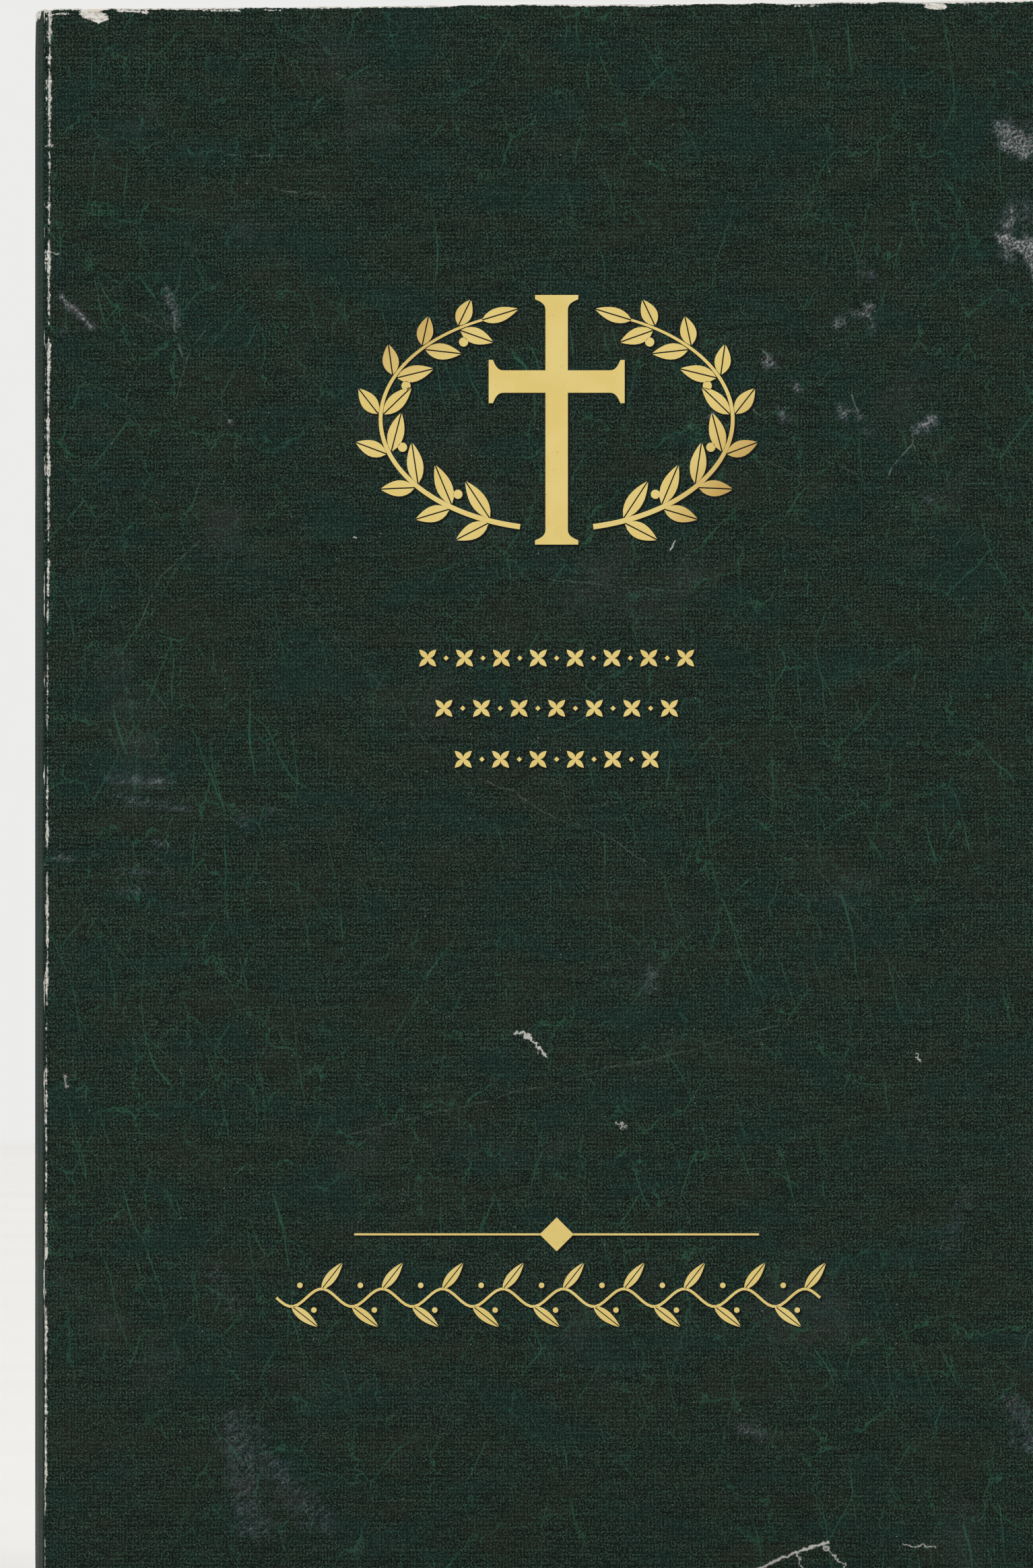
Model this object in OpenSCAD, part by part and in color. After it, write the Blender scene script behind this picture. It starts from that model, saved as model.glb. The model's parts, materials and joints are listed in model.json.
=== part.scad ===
// Bible, a worn softcover volume with a laminated card cover wrapped round a thick block of thin paper.
// It stands on its tail edge: +Z runs from tail to head, the front cover faces -Y, the spine is at -X.
// The origin is at the middle of the footprint, on the surface that the book stands on. Millimetres.

/* [Cover] */
// Width of a cover panel, from its fold at the spine to the fore edge
cover_w = 133.35; // [100:0.05:180]
// Height of the trimmed book, from tail to head
book_h = 209.55; // [150:0.05:280]
// Thickness of the laminated cover card
card_t = 0.35; // [0.2:0.01:0.6]
// Radius to which the two fore-edge corners of a cover have worn
corner_r = 1.6; // [0.4:0.1:6]
// How far the middle of the rounded spine stands out past the two folds
spine_round = 1.6; // [0.8:0.1:4]
// Clearance between the end of a cover panel and the spine card, at the fold
fold_clear = 0.1; // [0.05:0.01:0.3]

/* [Pages] */
// Number of folded sections in the block, an even number
section_count = 34; // [8:2:50]
// Thickness of one section of 32 thin pages
section_t = 0.83; // [0.5:0.01:1.5]
// Thickness of a single blank leaf at the front or the back
leaf_t = 0.1; // [0.05:0.01:0.2]

/* [Binding] */
// Thickness of the glue along the backs of the sections
glue_t = 0.8; // [0.4:0.05:2]
// Clearance between the glue and the line about which a leaf turns
root_clear = 0.25; // [0.15:0.01:0.6]
// Distance from its turning line at which a single leaf begins
leaf_start = 1.5; // [1:0.1:4]
// Angle to which the outermost section turns when the cover lies fully open
fan_max = 65; // [40:1:68]
// Length of the thinned gutter, as a multiple of the least that lets the sections fan
gutter_spare = 1.2; // [1.1:0.05:2]

/* [Hidden] */
card_colour = [0.14, 0.18, 0.16];
paper_colour = [0.86, 0.82, 0.72];
leaf_colour = [0.90, 0.87, 0.79];
glue_colour = [0.80, 0.74, 0.58];
arc_fn = 180;
corner_fn = 32;
// Share of the room at its root that a section fills.
root_ease = 0.95;

// The block, counted from the front: one flyleaf, one title leaf, the sections and one flyleaf.
front_leaves = 2;
back_leaves = 1;
book_t = 2 * card_t + (front_leaves + back_leaves) * leaf_t + section_count * section_t;
block_y = book_t / 2 - card_t;
fold_x = (spine_round - cover_w) / 2;

// The spine is an arc through both folds. Each layer inside it has the same centre and a smaller radius.
arc_r = (pow(book_t / 2, 2) + pow(spine_round, 2)) / (2 * spine_round);
arc_x = fold_x - spine_round + arc_r;
glue_r = arc_r - card_t;
block_r = glue_r - glue_t;

// Where the thickness of the middle of each piece lies.
function front_leaf_y(i) = -block_y + (i - 0.5) * leaf_t;
function section_y(i) = -block_y + front_leaves * leaf_t + (i - 0.5) * section_t;
back_leaf_y = block_y - leaf_t / 2;

// The line about which a leaf or section turns follows the curve of the glued backs.
function root_x(y) = arc_x - sqrt(pow(block_r, 2) - pow(y, 2)) + root_clear;
// All leaves are cut to one width, so that the rounding of the spine hollows the fore edge.
leaf_w = fold_x + cover_w - root_x(block_y);

// Two sections in the middle stay put, and those on each side fan out by equal steps.
turning = section_count / 2 - 1;
fan_step = fan_max / turning;
// Turned sections close up at their roots, and the more so where the spine slopes. What is left of
// the thickness there is open_share, so a section is thinned to that over the width of the gutter.
spine_slope = block_y / sqrt(pow(block_r, 2) - pow(block_y, 2));
open_share = cos(fan_max) - spine_slope * sin(fan_max);
root_t = root_ease * section_t * open_share;
gutter_w = gutter_spare * section_t * (1 - open_share) / sin(fan_step);

function section_name(i) = str("section_", i < 10 ? "0" : "", i);

// Outline of a cover panel, from the fold to the fore edge, with both fore-edge corners worn round.
module panel_outline() {
    start = card_t + fold_clear;
    translate([start, 0]) square([cover_w - corner_r - start, book_h]);
    translate([start, corner_r]) square([cover_w - start, book_h - 2 * corner_r]);
    for (z = [corner_r, book_h - corner_r])
        translate([cover_w - corner_r, z]) circle(r = corner_r, $fn = corner_fn);
}

// A cover panel with its outer face at the given y, on the side of the block that it closes.
module panel(back_face_y) {
    translate([fold_x, back_face_y, 0])
        rotate([90, 0, 0])
            linear_extrude(card_t) panel_outline();
}

// A layer of the spine between two radii, over the stretch of the thickness that is half_y each way.
module spine_layer(outer_r, inner_r, half_y) {
    linear_extrude(book_h)
        intersection() {
            translate([arc_x, 0])
                difference() {
                    circle(r = outer_r, $fn = arc_fn);
                    circle(r = inner_r, $fn = arc_fn);
                }
            translate([fold_x - 2 * spine_round, -half_y]) square([arc_r / 2, 2 * half_y]);
        }
}

// A single leaf, which begins a little way out from the glue.
module leaf(y) {
    color(leaf_colour)
        translate([root_x(y) + leaf_start, y - leaf_t / 2, 0])
            cube([leaf_w - leaf_start, leaf_t, book_h]);
}

// A section seen from the head is thin at its root and reaches its full thickness past the gutter.
module section(i) {
    y = section_y(i);
    color(paper_colour)
        translate([root_x(y), y, 0])
            linear_extrude(book_h)
                polygon([
                    [0, -root_t / 2],
                    [gutter_w, -section_t / 2],
                    [leaf_w, -section_t / 2],
                    [leaf_w, section_t / 2],
                    [gutter_w, section_t / 2],
                    [0, root_t / 2]
                ]);
}

module front_cover() {
    color(card_colour) panel(-book_t / 2 + card_t);
}

module back_cover() {
    color(card_colour) panel(book_t / 2);
}

module spine_cover() {
    color(card_colour) spine_layer(arc_r, glue_r, book_t / 2);
}

module spine_glue() {
    color(glue_colour) spine_layer(glue_r, block_r, block_y);
}

module front_flyleaf() {
    leaf(front_leaf_y(1));
}

module title_leaf() {
    leaf(front_leaf_y(2));
}

module back_flyleaf() {
    leaf(back_leaf_y);
}

front_cover();
spine_cover();
back_cover();
spine_glue();
front_flyleaf();
title_leaf();
back_flyleaf();
for (i = [1 : section_count])
    section(i);
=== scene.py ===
# %% [markdown]
# # A worn softcover bible, piece by piece
# The book is a thick block of thin paper, cut into folded sections, glued along their backs and
# wrapped in one sheet of laminated card. It stands on its tail edge with the front cover towards
# the camera. The packed model gives every place and size, so it is loaded first and never moved.

# %% The packed frame
import json
import math
import random
import bmesh
import bpy
import numpy as np
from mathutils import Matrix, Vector, noise


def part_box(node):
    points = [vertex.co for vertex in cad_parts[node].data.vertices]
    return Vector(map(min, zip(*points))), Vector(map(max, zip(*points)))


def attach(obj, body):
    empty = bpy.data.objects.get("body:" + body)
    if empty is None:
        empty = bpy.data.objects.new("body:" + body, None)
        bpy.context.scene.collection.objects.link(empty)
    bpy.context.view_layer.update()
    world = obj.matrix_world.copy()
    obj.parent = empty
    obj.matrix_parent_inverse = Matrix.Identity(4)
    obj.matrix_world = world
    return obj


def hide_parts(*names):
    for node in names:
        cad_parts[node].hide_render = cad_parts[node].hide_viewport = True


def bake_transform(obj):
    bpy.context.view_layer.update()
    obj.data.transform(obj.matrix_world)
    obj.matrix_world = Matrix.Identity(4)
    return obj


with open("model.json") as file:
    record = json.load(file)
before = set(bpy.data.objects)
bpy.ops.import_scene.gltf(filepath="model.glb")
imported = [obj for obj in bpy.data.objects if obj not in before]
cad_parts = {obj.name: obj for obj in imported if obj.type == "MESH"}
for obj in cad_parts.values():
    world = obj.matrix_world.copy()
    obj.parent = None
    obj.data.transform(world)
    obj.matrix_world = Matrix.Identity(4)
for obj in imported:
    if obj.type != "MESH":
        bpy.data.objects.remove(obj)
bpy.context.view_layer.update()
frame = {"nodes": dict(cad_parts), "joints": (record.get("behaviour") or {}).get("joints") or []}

# %% [markdown]
# ## Measures taken from the frame
# A printer measures a cover from two edges: how far a mark is from the fold, and how far it is
# below the head. The same two distances are used here for every mark, in millimetres, so that a
# number can be checked with a ruler laid on the book. The trimming knife cut the head a little
# out of square, lowest at the fold, so the print is measured from a square line halfway down
# that slope.

# %% Where the folds, the edges and the turning lines are
MM = 0.001
joints = {joint["child"]: joint for joint in frame["joints"]}
hinge = Vector(joints["front_board"]["pos_m"])
fold_x, front_y, back_y = hinge.x, hinge.y, joints["back_board"]["pos_m"][1]
panel_low, panel_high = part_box("front_cover")
head_z = panel_high.z
cover_w = (panel_high.x - fold_x) / MM
book_h = head_z / MM
book_t = (back_y - front_y) / MM
card_t = (panel_high.y - panel_low.y) / MM
sections = sorted(name for name in frame["nodes"] if name.startswith("section_"))
HEAD_SLOPE = 1.1
DROP = 0.6
print(f"cover {cover_w:.2f} x {book_h:.2f} mm, book {book_t:.2f} mm thick, {len(sections)} sections")

# %% [markdown]
# ## The camera
# The cover is seen square on, as on the glass of a copier, so a long lens is used: at this length
# the spine, which curves away behind the fold, still shows as a thin strip. The view is set by
# the distances from the fold and the head that lie at its middle, and by the height it takes in.

# %% Camera
VIEW_MIDDLE = (61.1, 100.9)
VIEW_HEIGHT = 203.0
LENS, SENSOR = 400.0, 36.0

camera = bpy.data.objects.new("camera", bpy.data.cameras.new("camera"))
camera.data.lens = LENS
camera.data.sensor_width = SENSOR
camera.location = (
    fold_x + VIEW_MIDDLE[0] * MM,
    front_y - VIEW_HEIGHT * MM * LENS / SENSOR,
    head_z - (VIEW_MIDDLE[1] + DROP) * MM,
)
camera.rotation_euler = (math.radians(90), 0, 0)
camera.data.clip_end = 50
bpy.context.scene.collection.objects.link(camera)
bpy.context.scene.camera = camera
print("camera stands", round(front_y - camera.location.y, 3), "m from the cover")

# %% [markdown]
# ## Light, floor and background
# Two large soft lamps stand to the left and right of the cover, far enough round that the
# laminate doesn't mirror them into the lens. The world fills in the rest. It looks paler to the
# camera than it is as a light, because a bright world would lay a grey veil on a dark gloss.
# A lamp above brightens the floor and the cut edges and hardly reaches the upright cover.

# %% Lamps
def lamp(name, place, aim, size, power):
    """A square soft lamp at a place, turned to face another."""
    data = bpy.data.lights.new(name, "AREA")
    data.size = size
    data.energy = power
    made = bpy.data.objects.new(name, data)
    made.location = place
    made.rotation_euler = (Vector(aim) - Vector(place)).to_track_quat("-Z", "Y").to_euler()
    bpy.context.scene.collection.objects.link(made)


BOOK_MIDDLE = (0, 0, head_z / 2)
lamp("key_lamp", (-3.2, -3.0, 2.2), BOOK_MIDDLE, 2.0, 76)
lamp("fill_lamp", (3.4, -2.8, 1.9), BOOK_MIDDLE, 2.2, 66)
lamp("back_lamp", (-1.5, 3.8, 2.6), BOOK_MIDDLE, 2.4, 60)
lamp("top_lamp", (0.3, 0.4, 3.6), BOOK_MIDDLE, 2.6, 46)
print(len(bpy.data.lights), "lamps")

# %% World
WORLD_SEEN, WORLD_LIGHT = (0.84, 0.84, 0.83, 1), (0.42, 0.42, 0.425, 1)

world = bpy.data.worlds.new("studio")
world.use_nodes = True
bpy.context.scene.world = world
sky = world.node_tree
sky.nodes.clear()
seen = sky.nodes.new("ShaderNodeBackground")
seen.inputs["Color"].default_value = WORLD_SEEN
lit = sky.nodes.new("ShaderNodeBackground")
lit.inputs["Color"].default_value = WORLD_LIGHT
rays = sky.nodes.new("ShaderNodeLightPath")
choice = sky.nodes.new("ShaderNodeMixShader")
out = sky.nodes.new("ShaderNodeOutputWorld")
sky.links.new(rays.outputs["Is Camera Ray"], choice.inputs[0])
sky.links.new(lit.outputs[0], choice.inputs[1])
sky.links.new(seen.outputs[0], choice.inputs[2])
sky.links.new(choice.outputs[0], out.inputs["Surface"])
bpy.context.scene.view_settings.view_transform = "Standard"
print("the world lights with", WORLD_LIGHT[0], "and looks like", WORLD_SEEN[0])

# %% [markdown]
# ## Shader maths as expressions
# A procedural finish is a sum on every point of a surface. Wrapping a node's output in a small
# class lets that sum be written as one, so `1 - mask` adds the Math node that does it. A second
# class holds one material and adds any other node from its type, settings and inputs.

# %% One value in a material
def maths(operation, swapped=False):
    """A method that adds one Math node. swapped puts the other value first."""
    def method(self, *others):
        values = (*others, self) if swapped else (self, *others)
        return self.finish.wire("ShaderNodeMath", {"operation": operation}, dict(enumerate(values)))
    return method


class Wire:
    """A node's output that can be added, multiplied and compared like a number."""
    __add__, __radd__ = maths("ADD"), maths("ADD", True)
    __sub__, __rsub__ = maths("SUBTRACT"), maths("SUBTRACT", True)
    __mul__, __rmul__ = maths("MULTIPLY"), maths("MULTIPLY", True)
    __truediv__, __rtruediv__ = maths("DIVIDE"), maths("DIVIDE", True)
    __gt__, __lt__ = maths("GREATER_THAN"), maths("LESS_THAN")
    most, least = maths("MAXIMUM"), maths("MINIMUM")
    __abs__, sine, modulo = maths("ABSOLUTE"), maths("SINE"), maths("FLOORED_MODULO")

    def __init__(self, finish, socket):
        self.finish, self.socket = finish, socket

    def rise(self, low, high, top=1.0):
        """0 at low, top at high, and a smooth step between. It falls where high is below low."""
        settings = {"interpolation_type": "SMOOTHSTEP"}
        ends = {0: self, 1: low, 2: high, 3: 0.0, 4: top}
        return self.finish.wire("ShaderNodeMapRange", settings, ends)


methods = [name for name, value in vars(Wire).items() if callable(value)]
print("a wire has", len(methods), "methods")

# %% One material
def colour(red, green, blue):
    """A colour as a painter reads it off a card, 0 to 255, turned into the light it stands for."""
    parts = [channel / 255 for channel in (red, green, blue)]
    return tuple(p / 12.92 if p < 0.04045 else ((p + 0.055) / 1.055) ** 2.4 for p in parts)


class Finish:
    """One material: a shader and everything that feeds it."""

    def __init__(self, name, gloss=0.25, index=1.45):
        """gloss is the strength of the mirror-like part, index how much the surface bends light."""
        self.material = bpy.data.materials.new(name)
        self.material.use_nodes = True
        self.tree = self.material.node_tree
        self.tree.nodes.clear()
        constants = {"Specular IOR Level": gloss, "IOR": index}
        self.shader = self.node("ShaderNodeBsdfPrincipled", {}, constants)
        end = self.node("ShaderNodeOutputMaterial")
        self.tree.links.new(self.shader.outputs[0], end.inputs["Surface"])

    def node(self, kind, settings=None, inputs=None):
        """Adds a node of a kind, sets it up, then gives its sockets their numbers or wires."""
        made = self.tree.nodes.new(kind)
        for name, value in (settings or {}).items():
            setattr(made, name, value)
        for key, value in (inputs or {}).items():
            self.feed(made.inputs[key], value)
        return made

    def wire(self, kind, settings=None, inputs=None, output=0):
        """Adds a node and hands back one of its outputs."""
        return Wire(self, self.node(kind, settings, inputs).outputs[output])

    def feed(self, socket, value):
        if isinstance(value, Wire):
            self.tree.links.new(value.socket, socket)
        elif isinstance(value, tuple) and socket.type == "RGBA":
            socket.default_value = (*value[:3], 1)
        else:
            socket.default_value = value

    def set(self, **inputs):
        """Feeds the shader. An underscore stands for the space in a socket's name."""
        for name, value in inputs.items():
            self.feed(self.shader.inputs[name.replace("_", " ")], value)

    def stored(self, name, output="Fac"):
        """A measure that the mesh stores at its points."""
        return self.wire("ShaderNodeAttribute", {"attribute_name": name}, output=output)

    def place(self):
        """The three ruler distances that each mesh stores at its points, as three wires."""
        split = self.node("ShaderNodeSeparateXYZ", {}, {0: self.stored("at", "Vector")})
        return [Wire(self, socket) for socket in split.outputs]

    def vector(self, x, y, z=0.0):
        return self.wire("ShaderNodeCombineXYZ", {}, {0: x, 1: y, 2: z})

    def vectors(self, operation, inputs, output="Vector"):
        """One Vector Math node."""
        return self.wire("ShaderNodeVectorMath", {"operation": operation}, inputs, output)

    def noise(self, spot, scale, seed, detail=2.0, roughness=0.5, turn=0.0):
        """Smooth random values about 0.5. scale is in lumps a millimetre, across and down."""
        if turn:
            inputs = {"Vector": spot, "Angle": turn}
            spot = self.wire("ShaderNodeVectorRotate", {"rotation_type": "Z_AXIS"}, inputs)
        away = (17.3 * seed, 9.1 * seed, 0.0)
        inputs = {"Vector": spot, "Location": away, "Scale": (*scale, 1.0)}
        moved = self.wire("ShaderNodeMapping", {}, inputs)
        inputs = {"Vector": moved, "Scale": 1.0, "Detail": detail, "Roughness": roughness}
        return self.wire("ShaderNodeTexNoise", {"noise_dimensions": "2D"}, inputs)

    def net(self, spot, scale, **settings):
        """A node that fills the surface with random cells, as many a millimetre as scale says."""
        inputs = {"Vector": spot, "Scale": scale}
        return self.node("ShaderNodeTexVoronoi", {"voronoi_dimensions": "2D", **settings}, inputs)

    def mix(self, first, second, amount):
        """One colour laid over another by an amount from 0 to 1."""
        mixer = self.node("ShaderNodeMix", {"data_type": "RGBA"})
        sockets = {socket.identifier: socket for socket in mixer.inputs}
        for key, value in {"Factor_Float": amount, "A_Color": first, "B_Color": second}.items():
            self.feed(sockets[key], value)
        return Wire(self, next(s for s in mixer.outputs if s.identifier == "Result_Color"))

    def relief(self, height, depth):
        """Raises the surface by height, where 1 stands for that depth in millimetres."""
        inputs = {"Height": height, "Distance": depth * MM, "Strength": 1.0}
        self.set(Normal=self.wire("ShaderNodeBump", {}, inputs))


print("a painter's middle grey is", round(colour(128, 128, 128)[0], 3), "as light")

# %% [markdown]
# ## The cover's print
# The card isn't cloth: it is printed with a picture of dark green cloth and then laminated. So
# the weave is in the colour and hardly in the relief. A sine wave a thread wide runs each way,
# and noise stretched along the threads pushes it out of step. A finer grain stands for the
# printing screen. Patches drift towards brown and towards blue, as the four inks did.

# %% Cloth print
GREEN_DARK, GREEN_LIGHT = colour(0, 4, 0), colour(60, 87, 74)
BROWN_DRIFT, BLUE_DRIFT = colour(41, 40, 33), colour(8, 44, 42)

WARP_PITCH, WEFT_PITCH = 0.41, 0.58
WARP_TURN, WEFT_TURN = 2 * math.pi / WARP_PITCH, 2 * math.pi / WEFT_PITCH


def cloth_print(f, u, v, spot, seed):
    """The printed cloth at a spot: its colour and its threads."""
    weft = f.noise(spot, (0.7, 4.6), seed)
    warp = f.noise(spot, (4.3, 0.6), seed + 1)
    grain = f.noise(spot, (4.5, 4.5), seed + 2, 2, 0.75, 0.6)
    weave = (u * WARP_TURN + warp * 4.0).sine() + (v * WEFT_TURN + weft * 4.0).sine()
    slub = f.noise(spot, (0.13, 1.3), seed + 3)
    threads = weft + warp
    light = weft * 0.6 + warp * 0.5 + grain * 3.6 + slub * 0.4 + weave * 0.12
    base = f.mix(GREEN_DARK, GREEN_LIGHT, light.rise(2.19, 3.67))
    patches = f.noise(spot, (0.07, 0.16), seed + 4, 4, 0.70)
    base = f.mix(base, BROWN_DRIFT, patches.rise(0.48, 0.68, 0.22))
    base = f.mix(base, BLUE_DRIFT, patches.rise(0.52, 0.32, 0.30))
    return base, threads


print("the printed threads are", WARP_PITCH, "and", WEFT_PITCH, "mm apart")

# %% [markdown]
# ## Wear on the cover
# Years of handling leave five kinds of mark: fine creases and crackle in the laminate, long thin
# scratches, chalky scuffs, white nicks, and edges where the print has gone and the white card
# shows. Thin marks are worked out in the shader, so that they are sharp at any size. Soft marks
# are stored on the grid of the mesh, which costs nothing to draw, and the shader breaks them up.

# %% Masks for thin marks
def line_mask(f, spot, start, end, half_width, strength):
    """A thin line between two places, as strong as given, which fades over its width."""
    run = Vector((end[0] - start[0], end[1] - start[1], 0))
    away = f.vectors("SUBTRACT", {0: spot, 1: (*start, 0.0)})
    share = f.vectors("DOT_PRODUCT", {0: away, 1: tuple(run / run.length_squared)}, "Value")
    share = share.most(0.0).least(1.0)
    nearest = f.vectors("SCALE", {0: tuple(run), "Scale": share})
    gap = f.vectors("DISTANCE", {0: away, 1: nearest}, "Value")
    return gap.rise(half_width, half_width * 0.2, strength)


def together(masks):
    """The strongest of several masks at each point."""
    whole = masks[0]
    for mask in masks[1:]:
        whole = whole.most(mask)
    return whole


def wandering(f, u, v, spot, scale, reach, seed):
    """The spot pushed a little aside, which keeps a line from being ruler-straight."""
    push = (f.noise(spot, (scale, scale), seed, 3, 0.6) - 0.5) * reach
    return f.vector(u + push, v - push)


print("masks for thin marks are ready")

# %% Creases, specks and bare edges
def crease_lines(f, u, v, spot, gap, slant, seed):
    """Long thin lines down the cover, about a gap apart, which noise bends and bunches."""
    bent = f.noise(spot, (0.022, 0.012), seed, 2) * 5.5 + f.noise(spot, (0.10, 0.05), seed + 1) * 0.7
    across = (u / gap - v * (slant / gap) + bent).modulo(1.0)
    return abs(across - 0.5).rise(0.14 / gap, 0.02 / gap)


def creases(f, u, v, spot, seed):
    """Fine cracks in the laminate, in patches. Each line fades and comes back."""
    first = crease_lines(f, u, v, spot, 5.1, 0.22, seed)
    second = crease_lines(f, u, v, spot, 6.7, 0.52, seed + 2)
    patch = f.noise(spot, (0.024, 0.024), seed + 4).rise(0.38, 0.62)
    broken = f.noise(spot, (0.22, 0.10), seed + 5, 3, 0.6).rise(0.44, 0.66)
    return first.most(second * 0.7) * patch * broken


def crackle(f, u, v, spot, seed):
    """A net of hair-fine cracks, a little longer down the cover than across it, in patches."""
    bent = wandering(f, u, v * 0.62, spot, 0.30, 3.4, seed)
    net = f.net(bent, 0.17, feature="DISTANCE_TO_EDGE")
    patch = f.noise(spot, (0.028, 0.028), seed + 1, 3, 0.6).rise(0.36, 0.56)
    broken = f.noise(spot, (0.25, 0.25), seed + 2, 3, 0.6).rise(0.36, 0.62)
    return Wire(f, net.outputs["Distance"]).rise(0.024, 0.004) * patch * broken


def specks(f, spot, cell, radius, share):
    """Tiny bright dots, in that share of the cells of a loose net."""
    net = f.net(spot, 1 / cell)
    chosen = f.wire("ShaderNodeSeparateColor", {}, {0: Wire(f, net.outputs["Color"])}) < share
    return Wire(f, net.outputs["Distance"]).rise(radius / cell, radius / cell * 0.4) * chosen


def bare_edge(f, spot, distance, along, seed, depth, gaps):
    """How far the print is worn back from an edge. along scales the slow change down that edge."""
    ragged = f.noise(spot, (1.9, 1.9), seed, 4, 0.7) - 0.5
    slow = f.noise(spot, along, seed + 1) - gaps
    reach = slow * (2.4 * depth) + ragged * (2.6 * depth) + 0.35 * depth
    return (reach - distance).rise(-0.03, 0.04)


ALONG_U, ALONG_V = (0.13, 0.0), (0.0, 0.13)
print("worn edges change over about", round(1 / ALONG_U[0], 1), "mm")

# %% [markdown]
# ### Putting the cover's finish together
# Every panel gets the same layers in the same order: print, colour of handling, creases, scuffs,
# then the bare card where the print is gone. The printed face stores 1 as its third measure and
# the inner face 0, so the same material also gives the card's cream core and its white inside.

# %% Finish of a cover panel
CREASE_GREEN, HANDLED_GREY = colour(50, 110, 82), colour(74, 80, 80)
SCUFF_GREY, SCUFF_BLUE = colour(192, 190, 194), colour(116, 126, 140)
SCRATCH_GREY, NICK_WHITE = colour(132, 150, 140), colour(214, 211, 205)
CORE_WHITE, CORE_GREY, INSIDE_WHITE = colour(222, 219, 212), colour(160, 155, 148), colour(222, 217, 203)


def card_finish(name, seed, far_edge, thin_marks, fold_wear, gloss=0.14):
    """The laminated card. thin_marks gives the scratches and nicks of this panel."""
    f = Finish(name, gloss)
    u, v, face = f.place()
    spot = f.vector(u, v)
    base, threads = cloth_print(f, u, v, spot, seed)
    scratches, nicks = thin_marks(f, u, v, spot)
    cracked = creases(f, u, v, spot, seed + 10).most(crackle(f, u, v, spot, seed + 30) * 0.8)
    sponge = f.noise(spot, (3.1, 3.1), seed + 15, 3, 0.75, 0.4)
    scuffed = f.stored("scuffed")
    ragged = scuffed + (f.noise(spot, (0.55, 1.7), seed + 17, 4, 0.68, 0.7) - 0.5) * 2.1
    rubbed = ragged.rise(0.15, 1.45) * sponge.rise(0.36, 0.72) * scuffed.rise(0.0, 0.32)
    chalk = f.mix(SCUFF_BLUE, SCUFF_GREY, scuffed.rise(0.40, 0.95))
    faint = f.noise(spot, (0.05, 0.05), seed + 16, 4, 0.65).rise(0.56, 0.80, 0.26) * sponge
    dust = specks(f, spot, 2.9, 0.10, 0.06)
    base = f.mix(base, CREASE_GREEN, cracked * 0.38)
    base = f.mix(base, HANDLED_GREY, faint)
    base = f.mix(base, chalk, rubbed * 0.80)
    base = f.mix(base, SCRATCH_GREY, scratches)
    base = f.mix(base, NICK_WHITE, nicks.most(dust * 0.28))

    fibre = f.noise(spot, (1.2, 3.4), seed + 18, 4, 0.65)
    chipped = (f.stored("chipped") + (sponge - 0.5) * 0.9).rise(0.42, 0.52)
    edges = [
        bare_edge(f, spot, v - f.stored("head"), ALONG_U, seed + 20, 0.20, 0.36),
        bare_edge(f, spot, book_h - DROP - v, ALONG_U, seed + 22, 0.30, 0.45),
        bare_edge(f, spot, far_edge - u, ALONG_V, seed + 24, 0.34, 0.46),
        fold_wear(f, u, v, spot),
        chipped,
    ]
    bare = together(edges)
    core = f.mix(CORE_WHITE, CORE_GREY, fibre.rise(0.42, 0.72))
    base = f.mix(base, core, bare)
    inside = f.mix(INSIDE_WHITE, CORE_GREY, fibre.rise(0.5, 1.0, 0.4))
    printed = face.rise(0.90, 0.97)
    base = f.mix(f.mix(inside, core, face.rise(0.02, 0.10)), base, printed)

    dull = (rubbed * 0.35 + bare * 0.5).least(0.5) * printed + (1 - printed) * 0.45
    f.set(Base_Color=base, Roughness=dull + faint * 0.3 + u.rise(1.5, 0.3, 0.5) + 0.40)
    f.relief(threads * 0.25 - cracked * 0.9, 0.03)
    return f.material


# %% [markdown]
# ### The marks on the front cover
# The scuffs sit mostly near the fore edge, where fingers hold the book. The long scratches run
# from the upper left to the lower right, and one fainter line rises the other way. A mark is a
# stroke: where it starts, where it ends, how wide it is to each side, and how strong.

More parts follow.
